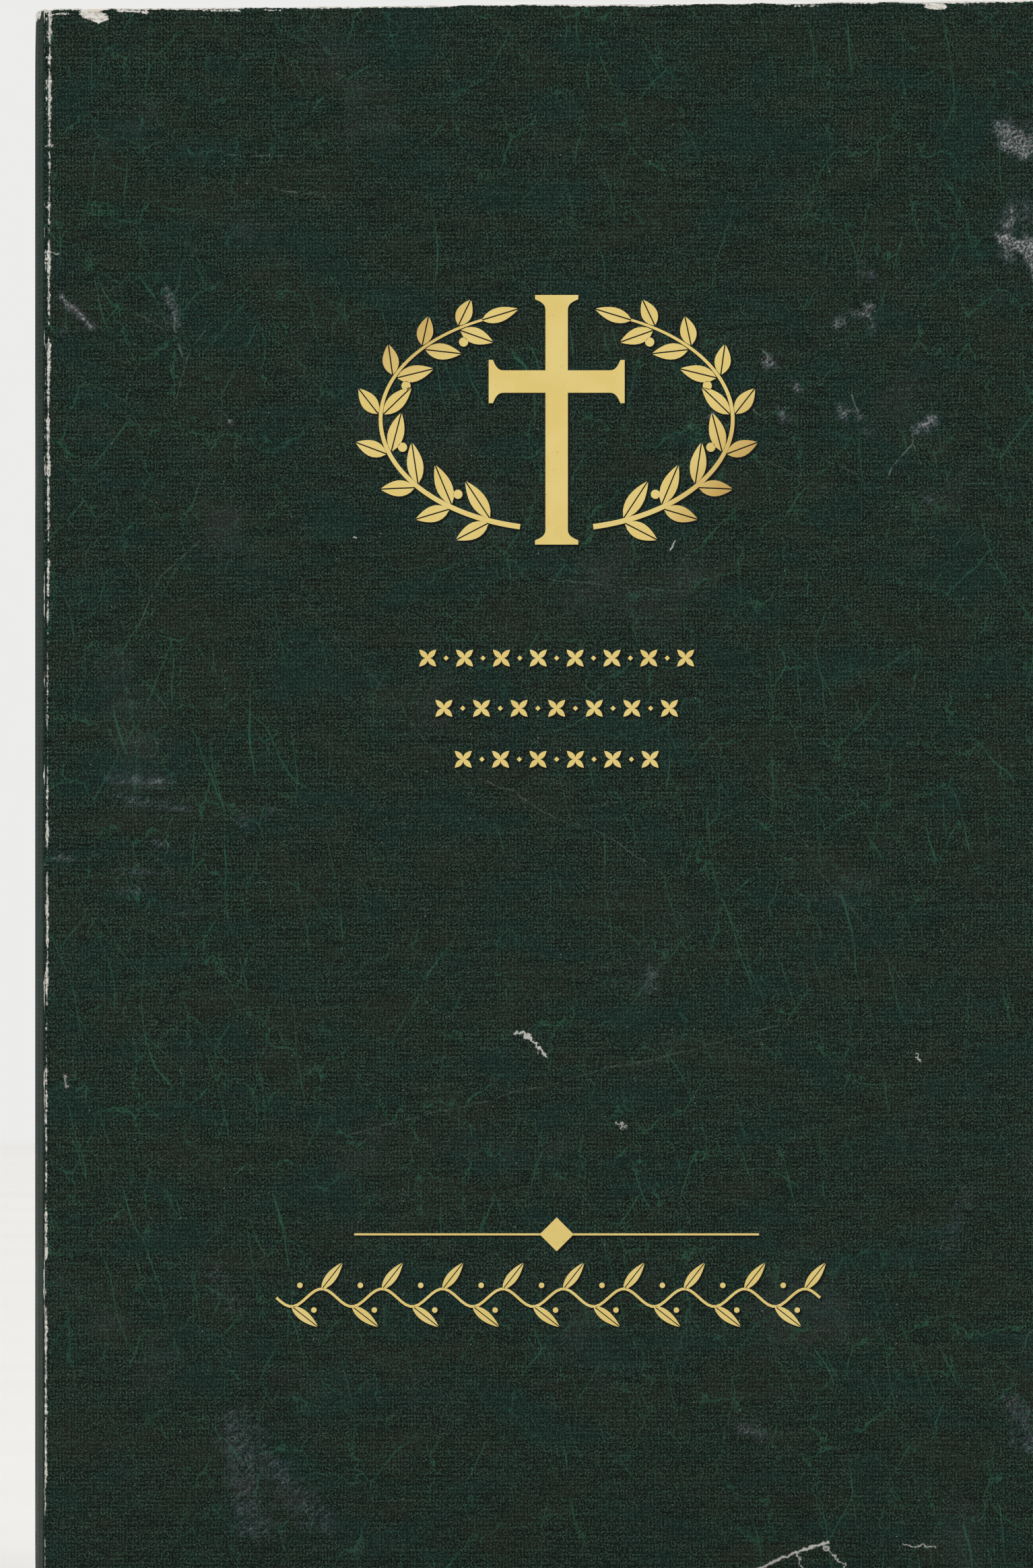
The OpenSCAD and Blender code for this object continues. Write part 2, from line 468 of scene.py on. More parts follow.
# %% Scuffs of the front cover
FRONT_SCUFFS = [
    ((123.9, 16.2), (127.8, 18.0), 1.5, 0.85), ((124.4, 18.0), (127.4, 19.3), 0.9, 1.0),
    ((124.9, 27.0), (124.6, 30.4), 0.9, 0.8), ((124.2, 30.4), (127.6, 31.6), 0.9, 1.1),
    ((126.8, 31.0), (128.4, 34.4), 1.1, 0.95), ((124.6, 31.0), (125.0, 33.0), 0.8, 0.75),
    ((126.2, 26.2), (127.6, 28.0), 1.5, 0.55), ((106.3, 34.4), (106.9, 34.8), 1.1, 0.56),
    ((106.8, 39.1), (105.5, 40.2), 0.7, 0.95), ((102.3, 41.3), (103.0, 41.6), 0.9, 0.80),
    ((107.0, 41.2), (107.1, 41.9), 0.7, 0.66), ((93.5, 46.0), (93.8, 46.6), 0.6, 0.95),
    ((97.2, 49.2), (97.4, 49.6), 0.6, 0.80), ((103.2, 52.4), (103.4, 53.3), 0.7, 0.85),
    ((104.9, 52.4), (105.9, 53.8), 0.5, 0.85), ((106.3, 55.2), (106.5, 55.6), 0.5, 0.55),
    ((95.2, 52.8), (95.5, 53.3), 0.7, 0.72), ((87.0, 52.0), (86.4, 53.6), 0.6, 0.80),
    ((83.6, 54.2), (83.3, 54.7), 0.5, 0.60), ((86.6, 54.7), (87.1, 55.1), 0.5, 0.60),
    ((112.7, 55.1), (115.0, 53.7), 0.7, 0.85), ((114.1, 63.8), (114.6, 64.1), 0.9, 0.50),
    ((100.4, 62.5), (100.7, 62.8), 0.5, 0.50), ((65.2, 58.0), (65.5, 58.3), 0.6, 0.60),
    ((2.1, 37.9), (6.4, 41.9), 0.42, 0.95), ((2.3, 41.2), (2.6, 42.0), 0.5, 0.50),
    ((15.9, 37.2), (17.1, 41.1), 0.7, 0.72), ((15.3, 41.4), (15.9, 42.0), 0.7, 0.50),
    ((24.2, 54.0), (24.5, 54.1), 0.5, 0.85), ((22.9, 53.3), (23.1, 53.5), 0.4, 0.60),
    ((8.1, 100.2), (16.1, 100.7), 0.7, 0.55), ((13.9, 100.6), (14.9, 100.7), 0.5, 0.70),
    ((8.6, 102.4), (18.4, 104.2), 0.7, 0.55), ((25.3, 105.7), (30.3, 104.3), 0.6, 0.55),
    ((13.7, 108.2), (15.9, 108.6), 0.5, 0.62), ((1.0, 110.5), (3.9, 110.3), 0.4, 0.72),
    ((9.2, 112.0), (16.7, 112.1), 0.6, 0.45), ((9.0, 114.6), (13.0, 114.8), 0.8, 0.38),
    ((78.4, 124.9), (78.7, 127.0), 0.9, 0.55), ((22.0, 164.6), (24.0, 168.0), 1.6, 0.38),
    ((25.0, 184.6), (26.6, 196.4), 2.6, 0.52), ((27.0, 187.4), (35.6, 196.6), 2.2, 0.46),
    ((90.3, 184.3), (92.6, 184.9), 0.8, 0.60), ((117.0, 160.6), (119.6, 153.4), 1.3, 0.40),
    ((125.0, 180.4), (127.4, 182.2), 0.9, 0.58), ((124.8, 181.0), (125.6, 186.2), 0.8, 0.50),
    ((127.2, 182.6), (127.8, 186.8), 1.0, 0.55), ((66.0, 167.0), (68.0, 163.0), 0.8, 0.34),
]
print(len(FRONT_SCUFFS), "scuffs")

# %% Scratches, nicks and chips of the front cover
FRONT_SCRATCHES = [
    ((38.9, 146.6), (94.7, 132.3), 0.11, 0.15), ((56.4, 100.0), (78.3, 110.8), 0.11, 0.18),
    ((32.8, 76.5), (55.1, 100.8), 0.11, 0.11), ((92.7, 100.8), (114.0, 130.2), 0.11, 0.10),
    ((16.6, 40.0), (18.0, 45.4), 0.16, 0.24), ((65.3, 74.4), (83.5, 75.9), 0.10, 0.16),
    ((23.6, 19.6), (32.8, 19.8), 0.11, 0.20), ((29.3, 24.2), (36.4, 24.9), 0.12, 0.26),
    ((11.5, 81.5), (14.6, 74.4), 0.12, 0.18), ((14.6, 74.4), (21.0, 68.6), 0.12, 0.18),
    ((12.2, 39.8), (15.7, 41.7), 0.12, 0.20), ((21.0, 42.0), (19.1, 44.4), 0.12, 0.18),
    ((19.1, 44.4), (16.8, 51.2), 0.12, 0.18), ((89.6, 51.3), (93.3, 53.4), 0.12, 0.24),
    ((100.7, 58.5), (105.6, 61.6), 0.11, 0.18), ((92.1, 59.0), (98.2, 60.9), 0.10, 0.12),
    ((92.6, 44.8), (93.6, 46.2), 0.16, 0.40), ((104.3, 50.7), (105.2, 52.8), 0.14, 0.40),
    ((112.3, 55.7), (112.4, 56.8), 0.18, 0.34), ((112.4, 56.8), (109.8, 59.8), 0.15, 0.36),
    ((109.8, 59.8), (109.3, 61.0), 0.18, 0.50), ((112.4, 56.8), (113.2, 59.8), 0.14, 0.22),
]
FRONT_NICKS = [
    ((61.2, 133.0), (62.8, 133.7), 0.30, 0.70), ((62.6, 133.3), (64.9, 136.2), 0.26, 0.75),
    ((74.1, 144.6), (75.1, 145.4), 0.20, 0.50), ((112.9, 135.8), (113.3, 136.9), 0.14, 0.60),
    ((81.0, 70.6), (81.7, 69.4), 0.14, 0.60), ((92.0, 202.6), (97.2, 200.4), 0.22, 0.60),
    ((97.2, 200.4), (101.6, 199.0), 0.26, 0.72), ((100.8, 199.4), (103.6, 202.2), 0.18, 0.60),
    ((97.4, 200.6), (98.6, 203.4), 0.16, 0.50), ((111.0, 199.4), (115.5, 199.6), 0.15, 0.50),
    ((2.6, 138.7), (2.8, 140.2), 0.30, 0.34), ((40.1, 68.9), (40.3, 69.1), 0.15, 0.60),
    ((0.0, 18.2), (1.0, 18.3), 0.13, 0.60), ((0.0, 32.1), (1.9, 32.2), 0.11, 0.50),
]
FRONT_CHIPS = [
    ((5.6, 1.3), (7.4, 1.8), 0.75, 1.0), ((9.4, 0.7), (13.2, 0.9), 0.24, 0.60),
    ((0.6, 1.3), (4.4, 1.0), 0.20, 0.55), ((20.6, 0.7), (25.4, 0.7), 0.20, 0.55),
    ((28.0, 0.7), (31.0, 0.7), 0.20, 0.50), ((114.4, 0.2), (116.4, 0.3), 0.36, 0.95),
    ((119.0, 0.1), (124.0, 0.1), 0.18, 0.52), ((97.0, 0.2), (100.6, 0.2), 0.18, 0.50),
]
print(len(FRONT_SCRATCHES), "scratches,", len(FRONT_NICKS), "nicks,", len(FRONT_CHIPS), "chips")


# %% Finish of the front cover
def front_thin_marks(f, u, v, spot):
    soft = wandering(f, u, v, spot, 0.10, 2.0, 31)
    rough = wandering(f, u, v, spot, 1.1, 1.3, 32)
    faded = f.noise(spot, (0.8, 0.8), 37, 3, 0.7).rise(0.32, 0.62)
    scratches = together([line_mask(f, soft, *mark) for mark in FRONT_SCRATCHES]) * faded
    return scratches, together([line_mask(f, rough, *mark) for mark in FRONT_NICKS])


def front_fold_wear(f, u, v, spot):
    """The broken white line along the fold, and its finer twin beside it."""
    centre = 0.66 - v * 0.0030 + (f.noise(spot, (0.0, 0.06), 33) - 0.5) * 0.26
    ragged = (f.noise(spot, (3.2, 1.5), 34, 4, 0.72) - 0.5) * 0.66
    strength = f.noise(spot, (0.0, 0.16), 35, 5, 0.75) - 0.5
    crumbs = f.noise(spot, (3.5, 2.2), 36, 2, 0.7).rise(0.30, 0.56)
    main = (strength * 1.3 + ragged - abs(u - centre) + 0.07).rise(-0.05, 0.10) * (crumbs * 0.6 + 0.4)
    twin = (strength * 1.4 + ragged * 0.8 - abs(u - centre + 0.40) - 0.13).rise(-0.04, 0.08) * crumbs
    return main.most(twin)


card_front = card_finish("laminated_card_front", 3.0, cover_w, front_thin_marks, front_fold_wear)
print("front card finish has", len(card_front.node_tree.nodes), "nodes")

# %% [markdown]
# ### The marks on the spine and the back
# These sides get the same print. The spine has long creases from being opened, and both its
# folds are rubbed white. The back has its own few scuffs, fewer than the front.

# %% Scattered marks
random.seed(11)


def scattered(count, width, longest, widest):
    """Scuffs at random places and angles."""
    made = []
    for _ in range(count):
        at = (random.uniform(4, width - 4), random.uniform(6, book_h - 6))
        turn, size = random.uniform(-0.6, 0.9), random.uniform(0.2, 1.0) ** 3
        run = longest * size
        end = (at[0] + run * math.cos(turn), at[1] + run * math.sin(turn))
        made.append((at, end, 0.5 + widest * size, random.uniform(0.35, 0.85)))
    return made


BACK_SCUFFS = scattered(52, cover_w, 12.0, 2.2)
SPINE_SCUFFS = scattered(8, book_t, 4.0, 1.4)
print(len(BACK_SCUFFS), "scuffs on the back,", len(SPINE_SCUFFS), "on the spine")

# %% Placed marks
BACK_SCRATCHES = [
    ((20, 30), (72, 66), 0.11, 0.20), ((88, 20), (60, 48), 0.11, 0.16),
    ((96, 120), (112, 168), 0.12, 0.20), ((30, 150), (74, 138), 0.11, 0.16),
    ((40, 182), (58, 176), 0.12, 0.24), ((104, 60), (122, 84), 0.12, 0.20),
]
BACK_NICKS = [((84, 96), (86.4, 98), 0.26, 0.7), ((30, 58), (31, 58.4), 0.2, 0.6)]
BACK_CHIPS = [((126, 0.6), (131, 0.6), 0.8, 1.0), ((58, 0.8), (62, 0.9), 0.6, 0.9)]
BACK_CHIPS += [((100, 208.7), (104, 208.7), 0.6, 0.9), ((10, 208.6), (13, 208.6), 0.8, 1.0)]
SPINE_CHIPS = [((4, 0.7), (25, 0.7), 1.0, 0.9), ((3, 208.7), (26, 208.7), 0.9, 0.9)]
FOLD_EDGE = book_t - 0.7
for top, end in ((12.3, 14.3), (34.5, 35.4), (39.6, 41.8)):
    SPINE_CHIPS.append(((FOLD_EDGE, top), (FOLD_EDGE, end), 0.4, 0.9))
print(len(BACK_CHIPS), "chips on the back,", len(SPINE_CHIPS), "on the spine")


# %% Finishes of the spine and the back cover
def back_thin_marks(f, u, v, spot):
    soft = wandering(f, u, v, spot, 0.10, 2.0, 41)
    scratches = together([line_mask(f, soft, *mark) for mark in BACK_SCRATCHES])
    return scratches, together([line_mask(f, soft, *mark) for mark in BACK_NICKS])


def spine_thin_marks(f, u, v, spot):
    """Long creases down the spine. The deepest have cracked the print."""
    made = []
    creased = [(7.5, 0.40), (11.2, 0.60), (14.9, 0.35), (19.4, 0.65), (22.3, 0.30)]
    for k, (at, strong) in enumerate(creased):
        wander = (f.noise(spot, (0.0, 0.03), 51 + k, 3) - 0.5) * 3.0
        fades = f.noise(spot, (0.0, 0.045), 61 + k, 3, 0.6).rise(0.40, 0.62, strong)
        made.append(abs(u - at + wander).rise(0.20, 0.05) * fades)
    lines = together(made)
    return lines, (lines - f.noise(spot, (1.4, 0.7), 71, 4, 0.7) * 0.5).rise(0.18, 0.34)


def spine_fold_wear(f, u, v, spot):
    """White spots along both folds of the spine, long and blurred by rubbing."""
    near = u.least(book_t - u)
    strength = f.noise(spot, (0.02, 0.16), 72, 3, 0.65) - 0.55
    ragged = (f.noise(spot, (1.6, 0.8), 73, 4, 0.7) - 0.5) * 0.9
    return (strength * 5.0 + ragged - near - 0.10).rise(-0.05, 0.30)


def back_fold_wear(f, u, v, spot):
    strength = f.noise(spot, (0.0, 0.09), 74, 3, 0.6) - 0.47
    ragged = (f.noise(spot, (2.4, 1.0), 75, 4, 0.7) - 0.5) * 0.5
    return (strength * 1.8 + ragged - abs(u - 0.5) + 0.05).rise(-0.02, 0.06)


card_back = card_finish("laminated_card_back", 80.0, cover_w, back_thin_marks, back_fold_wear)
NO_FAR_EDGE, SPINE_GLOSS = 1000.0, 0.01
card_spine = card_finish(
    "laminated_card_spine", 110.0, NO_FAR_EDGE, spine_thin_marks, spine_fold_wear, SPINE_GLOSS)
print("back and spine finishes made")

# %% [markdown]
# ## Meshes from grids
# A card panel is a closed sheet: a fine grid for its printed face, the same grid for its inner
# face, and walls between their rims. Each point also stores its ruler distances, which the
# finishes read to place the print.

# %% Soft marks on a grid
def soft_marks(u, v, marks):
    """The strength of strokes at each grid point, 1 and more along them and 0 at their rims."""
    field = np.zeros_like(u)
    across, down = np.sin(1.7 * u + 1.6 * np.sin(1.1 * v)), np.sin(1.5 * v + 1.3 * np.sin(1.4 * u))
    uneven = 1 + 0.45 * across * down
    for start, end, half_width, strength in marks:
        run = np.array(end) - np.array(start)
        share = np.clip(((u - start[0]) * run[0] + (v - start[1]) * run[1]) / (run @ run), 0, 1)
        gap = np.hypot(u - start[0] - share * run[0], v - start[1] - share * run[1])
        field = np.maximum(field, strength * np.clip(1.5 - gap * uneven / half_width, 0, 1))
    return field


print("a lone scuff reads", soft_marks(np.zeros(1), np.zeros(1), [((0, 0), (1, 0), 1.0, 0.8)]))

# %% Sheet builder
def sheet_object(name, outer, inner, u, v, material, **soft):
    """A closed sheet between two grids of points. soft holds grids of values, stored by name."""
    rows, columns = outer.shape[:2]
    count = rows * columns
    points = np.concatenate([outer.reshape(-1, 3), inner.reshape(-1, 3)])
    index = np.arange(count).reshape(rows, columns)
    a, b = index[:-1, :-1].ravel(), index[:-1, 1:].ravel()
    c, d = index[1:, 1:].ravel(), index[1:, :-1].ravel()
    faces = [np.stack([a, b, c, d], 1), np.stack([d, c, b, a], 1) + count]
    rim = np.concatenate([index[0, :], index[1:, -1], index[-1, -2::-1], index[-2:0:-1, 0]])
    after = np.roll(rim, -1)
    faces.append(np.stack([after, rim, rim + count, after + count], 1))
    mesh = bpy.data.meshes.new(name)
    mesh.from_pydata(points.tolist(), [], np.concatenate(faces).tolist())
    for key, grid in soft.items():
        values = np.concatenate([grid.ravel(), grid.ravel() * 0]).astype(np.float32)
        mesh.attributes.new(key, "FLOAT", "POINT").data.foreach_set("value", values)
    face = np.repeat([1.0, 0.0], count)
    at = np.column_stack([np.tile(u.ravel(), 2), np.tile(v.ravel(), 2), face])
    return finish_mesh(mesh, at, material)


def finish_mesh(mesh, at, material, crease=35):
    """Stores the measures, points every face outwards, shades it and makes the object."""
    stored = mesh.attributes.new("at", "FLOAT_VECTOR", "POINT")
    stored.data.foreach_set("vector", at.astype(np.float32).ravel())
    work = bmesh.new()
    work.from_mesh(mesh)
    bmesh.ops.recalc_face_normals(work, faces=work.faces)
    work.to_mesh(mesh)
    work.free()
    mesh.shade_smooth()
    mesh.set_sharp_from_angle(angle=math.radians(crease))
    mesh.materials.append(material)
    made = bpy.data.objects.new(mesh.name, mesh)
    bpy.context.scene.collection.objects.link(made)
    return made


print("sheet builder is ready")

# %% [markdown]
# ## The front and back covers
# A used cover doesn't lie dead flat. It lifts a little towards its fore edge, most at the head
# corner, with slow waves along it. One cut of the trimming knife made the head edge of cards and
# leaves alike, a little out of square, so they all share its slope. The card is notched where
# chips came away, and its fore-edge corners are rubbed round. The strip beside the fold has
# narrow columns. The card of a real book bends there when the cover opens; here the panel doesn't bend.

# %% Shape of a cover panel
FOLD_STRIP = 2.4
CORNER_WEAR = 1.7


def lift(u, v, side):
    """How far the cover stands off the block, in mm, at one spot."""
    reach = np.clip((u - 8.0) / (cover_w - 8.0), 0, 1) ** 2
    corner = 0.42 + 0.30 * np.cos(math.pi * v / book_h * (1.0 if side < 0 else 1.6))
    waves = 0.10 * np.sin(u * 0.047 + v * 0.031 + side) * np.clip(u / 40, 0, 1)
    return reach * corner + (waves + 0.10) * np.clip(u / 40, 0, 1)


def trim(u):
    """How far below the head the knife cut, at a distance from the fold."""
    return HEAD_SLOPE * (1 - u / cover_w)


def head_edge(u, side):
    """How far below the head the card's edge lies at a distance from the fold."""
    slope = trim(u)
    slow, quick = Vector((u * 0.21, side, 0.5)), Vector((u * 1.3, side, 4.0))
    wander = 0.10 + 0.16 * noise.noise(slow) + 0.05 * noise.noise(quick)
    notch = 0.5 * math.exp(-((u - 6.4) / 1.1) ** 2) if side < 0 else 0.0
    fold_corner = 0.5 * math.exp(-((u / 0.9) ** 2))
    return max(0.0, slope + wander + notch + fold_corner) + worn_corner(u)


def tail_edge(u, side):
    wander = 0.08 + 0.14 * noise.noise(Vector((u * 0.19, side, 9.5)))
    return max(0.0, wander) + worn_corner(u)


def worn_corner(u):
    """How much of the edge the round fore-edge corner takes away."""
    inside = max(0.0, u - (cover_w - CORNER_WEAR))
    return CORNER_WEAR - math.sqrt(max(0.0, CORNER_WEAR ** 2 - inside ** 2))


print("fore-edge corner of the front cover lifts", round(float(lift(cover_w, 0.0, -1)), 2), "mm")


# %% Building both covers
def spaced(end, fine, coarse, stretch):
    """Distances from 0 to end: fine steps over a stretch at each end, coarse steps between."""
    rim = np.arange(0, stretch, fine)
    middle = np.linspace(stretch, end - stretch, int((end - 2 * stretch) / coarse) + 1)
    return np.concatenate([rim, middle, end - rim[::-1]])


def cover_panel(name, node, side, material, scuffs, chips):
    """A cover panel. side is -1 for the front, which faces -Y, and 1 for the back."""
    flat = spaced(cover_w - FOLD_STRIP, 0.3, 0.9, 1.8) + FOLD_STRIP
    across = np.concatenate([np.arange(0, FOLD_STRIP, 0.2), flat])
    share = spaced(book_h, 0.35, 0.9, 4.2) / book_h
    top = np.array([head_edge(u, side) for u in across])
    bottom = book_h - np.array([tail_edge(u, side) for u in across])
    u = np.tile(across, (len(share), 1))
    v = top + share[:, None] * (bottom - top)
    face_y = (front_y if side < 0 else back_y) + side * lift(u, v, side) * MM
    outer = np.stack([fold_x + u * MM, face_y, head_z - v * MM], 2)
    mitre = card_t * (1 - u / cover_w)
    inner = np.stack([fold_x + (u + mitre) * MM, face_y - side * card_t * MM, head_z - v * MM], 2)
    ruled = v - DROP
    soft = {"scuffed": soft_marks(u, ruled, scuffs), "chipped": soft_marks(u, ruled, chips)}
    soft["head"] = np.tile(top - DROP, (len(share), 1))
    panel = sheet_object(name, outer, inner, u, ruled, material, **soft)
    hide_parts(node)
    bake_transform(panel)
    print(name, "has", len(panel.data.polygons), "faces")
    return panel


cover_panel("front_cover_card", "front_cover", -1, card_front, FRONT_SCUFFS, FRONT_CHIPS)
cover_panel("back_cover_card", "back_cover", 1, card_back, BACK_SCUFFS, BACK_CHIPS)

# %% [markdown]
# ## The spine
# The spine card is an arc through both folds. Its radius comes from the two folds and from how
# far its middle stands out, which the packed model gives. Reading has pressed shallow hollows
# into it along the creases, so its surface isn't a perfect arc.

# %% Spine card
spine_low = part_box("spine_cover")[0]
round_out = (fold_x - spine_low.x) / MM
arc_r = ((book_t / 2) ** 2 + round_out ** 2) / (2 * round_out)
arc_x = fold_x / MM - round_out + arc_r


def on_arc(radius, angle, v):
    """Points on an arc about the spine's middle line, at a distance below the head."""
    x = (arc_x - radius * np.cos(angle)) * MM
    return np.stack([x, radius * np.sin(angle) * MM, head_z - v * MM], 2)


def spine_card():
    half_out = math.asin(book_t / 2 / arc_r)
    half_in = math.asin((book_t / 2 - card_t) / (arc_r - card_t))
    share = np.linspace(-1, 1, 75)
    down = spaced(book_h - HEAD_SLOPE - 0.15, 0.35, 1.25, 4.2) + HEAD_SLOPE + 0.1
    turn, v = np.meshgrid(share, down)
    wide = (turn + 1) / 2 * book_t
    hollow = 0.05 * np.cos(wide * 1.7 + 0.5 * np.sin(v * 0.04)) * (1 - turn ** 2)
    dip = 0.12 * np.exp(-(v / 5.0) ** 2) + 0.12 * np.exp(-((book_h - v) / 5.0) ** 2)
    radius = arc_r - (hollow + dip * (1 - turn ** 2)) - 0.02 * (1 - turn ** 2)
    outer, inner = on_arc(radius, turn * half_out, v), on_arc(arc_r - card_t, turn * half_in, v)
    ruled = v - DROP
    soft = {"scuffed": soft_marks(wide, ruled, SPINE_SCUFFS), "chipped": soft_marks(wide, ruled, SPINE_CHIPS)}
    soft["head"] = np.full_like(v, HEAD_SLOPE + 0.1 - DROP)
    spine = sheet_object("spine_card", outer, inner, wide, ruled, card_spine, **soft)
    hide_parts("spine_cover")
    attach(spine, "bound_spine")
    return spine


print("spine card has", len(spine_card().data.polygons), "faces")

# %% [markdown]
# ## Paper
# Bible paper is thin, smooth and slightly cream. Its cut edges look darker than its faces, and
# they have yellowed and been thumbed grey, most at the middle of the fore edge. On the faces,
# two columns of fine grey bars stand where the print would be: they give a page its tone, and
# they are bars of uneven length and not letters.

# %% Paper finish
PAPER, PAPER_SHADE = colour(236, 229, 211), colour(214, 203, 178)
EDGE_CREAM, EDGE_BROWN, EDGE_GREY = colour(240, 236, 222), colour(200, 184, 152), colour(170, 164, 150)
INK = colour(92, 88, 84)
COLUMN_LEFT, COLUMN_RIGHT, COLUMN_W = 14.0, 70.0, 50.0
LINE_STEP, TEXT_TOP, TEXT_END = 3.1, 17.0, 196.0


def text_bars(f, u, v):
    """Two columns of grey bars with ragged word gaps, a rule between them and one at the top."""
    line = (v / LINE_STEP - 0.5).modulo(1.0)
    row = v / LINE_STEP - line
    bar = abs(line - 0.5).rise(0.24, 0.16)
    words = f.noise(f.vector(u, row), (0.55, 7.3), 81, 1).rise(0.37, 0.41)
    middle = (COLUMN_LEFT + COLUMN_W + COLUMN_RIGHT) / 2
    gap = (COLUMN_RIGHT - COLUMN_LEFT - COLUMN_W) / 2
    aside = abs(u - middle)
    down = (v > TEXT_TOP) * (v < TEXT_END)
    columns = (aside > gap) * (aside < gap + COLUMN_W)
    centre_rule = aside < 0.12
    head_rule = (abs(v - 13.5) < 0.14) * (aside < gap + COLUMN_W)
    return ((bar * words * columns).most(centre_rule) * down).most(head_rule)


def paper_finish(name, printed):
    """Cream paper. Points store distance from the fold, from the head, and through the book."""
    f = Finish(name)
    u, v, depth = f.place()
    flat = f.vector(u, v)
    tone, cut = f.stored("tone"), f.stored("cut")
    fibre = f.noise(flat, (1.5, 1.5), 82, 4, 0.6)
    faces = f.mix(PAPER, PAPER_SHADE, fibre.rise(0.35, 0.85, 0.5) + tone * 0.3)
    foxing = f.noise(flat, (0.11, 0.11), 83, 4, 0.7).rise(0.62, 0.78, 0.30)
    yellow = (cover_w - u).least(v).least(book_h - v).rise(7.0, 0.0, 0.27)
    faces = f.mix(faces, EDGE_BROWN, foxing + yellow)
    if printed:
        faces = f.mix(faces, INK, text_bars(f, u, v) * 0.62)
    through = f.vector(depth, v + u)
    lines = f.noise(through, (9.0, 0.02), 84, 4, 0.75)
    bands = f.noise(through, (1.9, 0.006), 86, 3, 0.7)
    edges = f.mix(EDGE_CREAM, EDGE_BROWN, lines.rise(0.36, 0.74, 0.62) + tone * 0.55)
    edges = f.mix(edges, EDGE_GREY, bands.rise(0.50, 0.72, 0.55))
    grime = f.noise(through, (0.45, 0.10), 85, 5, 0.7).rise(0.50, 0.80, 0.30)
    thumbed = (abs(v - book_h * 0.52) / (book_h * 0.40)).rise(1.0, 0.2, 0.14)
    edges = f.mix(edges, EDGE_GREY, grime + thumbed)
    f.set(Base_Color=f.mix(faces, edges, cut.rise(0.45, 0.55)), Roughness=0.62 + fibre * 0.2)
    f.relief(fibre * 0.4 + lines * cut * 0.5, 0.02)
    return f.material


paper_printed = paper_finish("thin_paper_printed", True)
paper_blank = paper_finish("thin_paper_blank", False)
print("printed paper finish has", len(paper_printed.node_tree.nodes), "nodes")

# %% [markdown]
# ## Leaves
# Each leaf is its own thin closed solid, so that the cut edges of the block have real lines in
# them and not painted ones. Its root lies on the arc of the glue and its fore edge repeats that
# arc, because all leaves are cut to one width. Leaves differ by a few hundredths of a millimetre,
# which is what makes a trimmed edge look like paper.

# %% The curve that the backs of the leaves follow
section_boxes = {name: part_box(name) for name in sections}
GLUE_T = 0.8


def glue_face(y):
    """Where the inner face of the glue lies at that place through the book, in metres."""
    inner_r = (arc_r - card_t - GLUE_T) * MM
    return arc_x * MM - math.sqrt(inner_r ** 2 - y ** 2)


leaf_w = section_boxes[sections[0]][1].x - glue_face(section_boxes[sections[0]][0].y)
print(f"leaves are {leaf_w / MM:.2f} mm wide")


# %% Leaf builder
def leaf_parts(y, thick, inset, stations):
    """Points and faces of one leaf as a thin closed box with columns at the given stations."""
    root = glue_face(y)
    xs = root + np.array(stations) * leaf_w
    xs[-1] -= inset[0] * MM
    low_z = inset[2] * MM
    points = []
    for x in xs:
        high_z = head_z - (inset[1] + max(0.0, trim((x - fold_x) / MM))) * MM
        ring = [(-1, high_z), (1, high_z), (1, low_z), (-1, low_z)]
        points += [(x, y + s * thick / 2 * MM, z) for s, z in ring]
    faces, cuts = [], []
    for i in range(len(xs) - 1):
        for k in range(4):
            n = (k + 1) % 4
            faces.append((4 * i + k, 4 * i + n, 4 * i + 4 + n, 4 * i + 4 + k))
            cuts.append(1.0 if k in (0, 2) else 0.0)
    last = 4 * (len(xs) - 1)
    faces += [(3, 2, 1, 0), (last, last + 1, last + 2, last + 3)]
    cuts += [1.0, 1.0]
    return points, faces, cuts


STATIONS = [0, 0.012, 0.027, 0.045, 0.065, 0.088, 0.112, 0.137, 0.162, 0.187, 0.212, 0.235, 0.5, 1.0]


def leaves_object(name, layers, material):
    """One mesh of several leaves. layers gives y in metres, thickness in mm and three insets."""
    points, faces, cuts, tones = [], [], [], []
    shared = random.random()
    for y, thick, inset in layers:
        part_points, part_faces, part_cuts = leaf_parts(y, thick, inset, STATIONS)
        faces += [tuple(k + len(points) for k in face) for face in part_faces]
        points += part_points
        cuts += part_cuts
        tones += [0.6 * shared + 0.4 * random.random()] * len(part_points)
    mesh = bpy.data.meshes.new(name)
    mesh.from_pydata(points, [], faces)
    mesh.attributes.new("cut", "FLOAT", "FACE").data.foreach_set("value", cuts)
    mesh.attributes.new("tone", "FLOAT", "POINT").data.foreach_set("value", tones)
    spots = np.array(points)
    at = np.column_stack([(spots[:, 0] - fold_x) / MM, (head_z - spots[:, 2]) / MM, spots[:, 1] / MM])
    return finish_mesh(mesh, at, material, crease=60)


print("a leaf has", len(leaf_parts(0.0, 0.05, (0, 0, 0), STATIONS)[1]), "faces")

# %% [markdown]
# ## The sections
# A section is sixteen leaves, with close columns over their first three centimetres. Sections
# that turn with a cover stay straight and ride no body; the others ride the bound spine.

# %% Sections
LEAVES_PER_SECTION = 16
LEAF_FILL = 0.86
random.seed(5)


def section_layers(name):
    low, high = section_boxes[name]
    step = (high.y - low.y) / LEAVES_PER_SECTION
    drift = random.uniform(-0.10, 0.12)
    made = []
    for k in range(LEAVES_PER_SECTION):
        fore, top = 0.12 + drift + random.uniform(0, 0.10), 0.10 + random.uniform(0, 0.09)
        inset = [fore, top, random.uniform(0, 0.05)]
        made.append((low.y + (k + 0.5) * step, step / MM * LEAF_FILL, inset))
    return made


def bends(piece):
    """Bakes the piece's place into its points. It doesn't bend, and rides no body."""
    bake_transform(piece)


